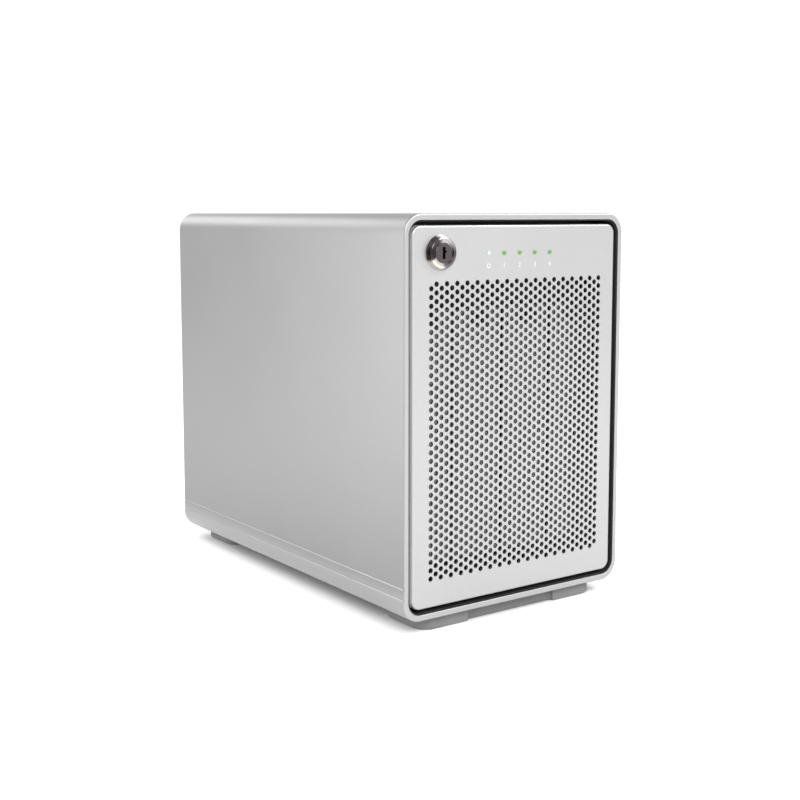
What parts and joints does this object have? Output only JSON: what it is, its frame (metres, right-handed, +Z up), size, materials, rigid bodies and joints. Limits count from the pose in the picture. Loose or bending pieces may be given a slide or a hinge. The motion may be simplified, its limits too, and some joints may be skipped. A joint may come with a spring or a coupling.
{
  "type": "nas enclosure",
  "caption": "Desktop network storage enclosure: extruded aluminium case, lockable perforated front door, sliding drive trays, rear fan, mains inlet and network ports.",
  "frame": {"origin": "on the standing surface under the middle of the outline, lock included", "axes": "+Z up, +Y from the door towards the rear panel, +X to the right seen from the front"},
  "size_m": [0.135, 0.2282, 0.1936],
  "materials": {
    "case_aluminium": "bead-blasted and anodised, satin",
    "door_aluminium": "bead-blasted and anodised, satin",
    "panel_aluminium": "anodised, satin",
    "tray_aluminium": "brushed, satin",
    "black_aluminium": "black anodised",
    "black_plastic": "matte moulded",
    "black_paint": "powder coated, matte",
    "cage_steel": "zinc-plated sheet",
    "bright_steel": "nickel-plated",
    "dark_steel": "black zinc",
    "lock_chrome": "polished",
    "lock_plug_metal": "dark chrome, turned face",
    "light_pipe": "clear acrylic",
    "status_light": "moulded emitter",
    "circuit_board": "solder mask, satin",
    "socket_plastic": "moulded",
    "rocker_plastic": "moulded, satin",
    "port_metal": "tin-plated",
    "brass": "turned",
    "drive_casting": "cast, matte",
    "drive_lid_steel": "brushed",
    "supply_metal": "zinc-plated sheet look, satin",
    "fan_plastic": "moulded",
    "foot_rubber": "matte, grey"
  },
  "bodies": {
    "case": {"outer_shell": "case_aluminium", "front_sleeve": "black_plastic", "bay_bezel": "black_paint", "cage_left": "cage_steel", "cage_right": "cage_steel", "cage_deck": "cage_steel", "cage_roof": "cage_steel", "tray_guides": "black_plastic", "chassis_plate": "cage_steel", "backplane": "circuit_board", "drive_sockets": "socket_plastic", "controller_board": "circuit_board", "board_standoffs": "brass", "network_ports": "port_metal", "usb_ports": "port_metal", "heat_sink": "black_aluminium", "light_board": "circuit_board", "light_emitters": "status_light", "lock_keeper": "bright_steel", "rear_panel": "panel_aluminium", "panel_screws": "dark_steel", "fan_screws": "dark_steel", "foot_screws": "dark_steel", "fan_frame": "fan_plastic", "power_supply": "supply_metal", "power_inlet": "socket_plastic", "switch_frame": "socket_plastic", "front_foot": "foot_rubber", "rear_foot": "foot_rubber"},
    "door": {"door_plate": "door_aluminium", "door_frame": "door_aluminium", "door_pegs": "bright_steel", "light_pipes": "light_pipe", "lock_body": "lock_chrome", "lock_nut": "bright_steel"},
    "lock_cylinder": {"lock_plug": "lock_plug_metal", "lock_cam": "bright_steel", "cam_screw": "bright_steel"},
    "fan": {"fan_rotor": "fan_plastic"},
    "rocker": {"power_rocker": "rocker_plastic"},
    "tray_1": {"tray_frame_1": "black_paint", "tray_face_1": "tray_aluminium", "drive_1": "drive_casting", "drive_lid_1": "drive_lid_steel"},
    "tray_knob_1": {"tray_screw_1": "dark_steel"},
    "tray_2": {"tray_frame_2": "black_paint", "tray_face_2": "tray_aluminium", "drive_2": "drive_casting", "drive_lid_2": "drive_lid_steel"},
    "tray_knob_2": {"tray_screw_2": "dark_steel"},
    "tray_3": {"tray_frame_3": "black_paint", "tray_face_3": "tray_aluminium", "drive_3": "drive_casting", "drive_lid_3": "drive_lid_steel"},
    "tray_knob_3": {"tray_screw_3": "dark_steel"},
    "tray_4": {"tray_frame_4": "black_paint", "tray_face_4": "tray_aluminium", "drive_4": "drive_casting", "drive_lid_4": "drive_lid_steel"},
    "tray_knob_4": {"tray_screw_4": "dark_steel"}
  },
  "joints": [
    {"name": "door_slide", "type": "slide", "parent": "case", "child": "door", "axis": [0, -1, 0], "range_m": [0, 0.25]},
    {"name": "lock_turn", "type": "hinge", "parent": "door", "child": "lock_cylinder", "pos_m": [-0.0469, -0.11175, 0.1758], "axis": [0, 1, 0], "range_deg": [0, 90]},
    {"name": "fan_spin", "type": "hinge", "parent": "case", "child": "fan", "pos_m": [0, 0.09375, 0.0865], "axis": [0, 1, 0], "continuous": true},
    {"name": "rocker_tilt", "type": "hinge", "parent": "case", "child": "rocker", "pos_m": [-0.014, 0.1091, 0.1597], "axis": [0, 0, 1], "range_deg": [0, 14]},
    {"name": "tray_slide_1", "type": "slide", "parent": "case", "child": "tray_1", "axis": [0, -1, 0], "range_m": [0, 0.15]},
    {"name": "tray_screw_turn_1", "type": "hinge", "parent": "tray_1", "child": "tray_knob_1", "pos_m": [-0.045, -0.09975, 0.144], "axis": [0, 1, 0], "continuous": true},
    {"name": "tray_slide_2", "type": "slide", "parent": "case", "child": "tray_2", "axis": [0, -1, 0], "range_m": [0, 0.15]},
    {"name": "tray_screw_turn_2", "type": "hinge", "parent": "tray_2", "child": "tray_knob_2", "pos_m": [-0.015, -0.09975, 0.144], "axis": [0, 1, 0], "continuous": true},
    {"name": "tray_slide_3", "type": "slide", "parent": "case", "child": "tray_3", "axis": [0, -1, 0], "range_m": [0, 0.15]},
    {"name": "tray_screw_turn_3", "type": "hinge", "parent": "tray_3", "child": "tray_knob_3", "pos_m": [0.015, -0.09975, 0.144], "axis": [0, 1, 0], "continuous": true},
    {"name": "tray_slide_4", "type": "slide", "parent": "case", "child": "tray_4", "axis": [0, -1, 0], "range_m": [0, 0.15]},
    {"name": "tray_screw_turn_4", "type": "hinge", "parent": "tray_4", "child": "tray_knob_4", "pos_m": [0.045, -0.09975, 0.144], "axis": [0, 1, 0], "continuous": true}
  ],
  "couplings": [
    {"joint": "tray_slide_1", "follows": "door_slide", "ratio": 0.6},
    {"joint": "tray_slide_2", "follows": "door_slide", "ratio": 0.6},
    {"joint": "tray_slide_3", "follows": "door_slide", "ratio": 0.6},
    {"joint": "tray_slide_4", "follows": "door_slide", "ratio": 0.6}
  ]
}
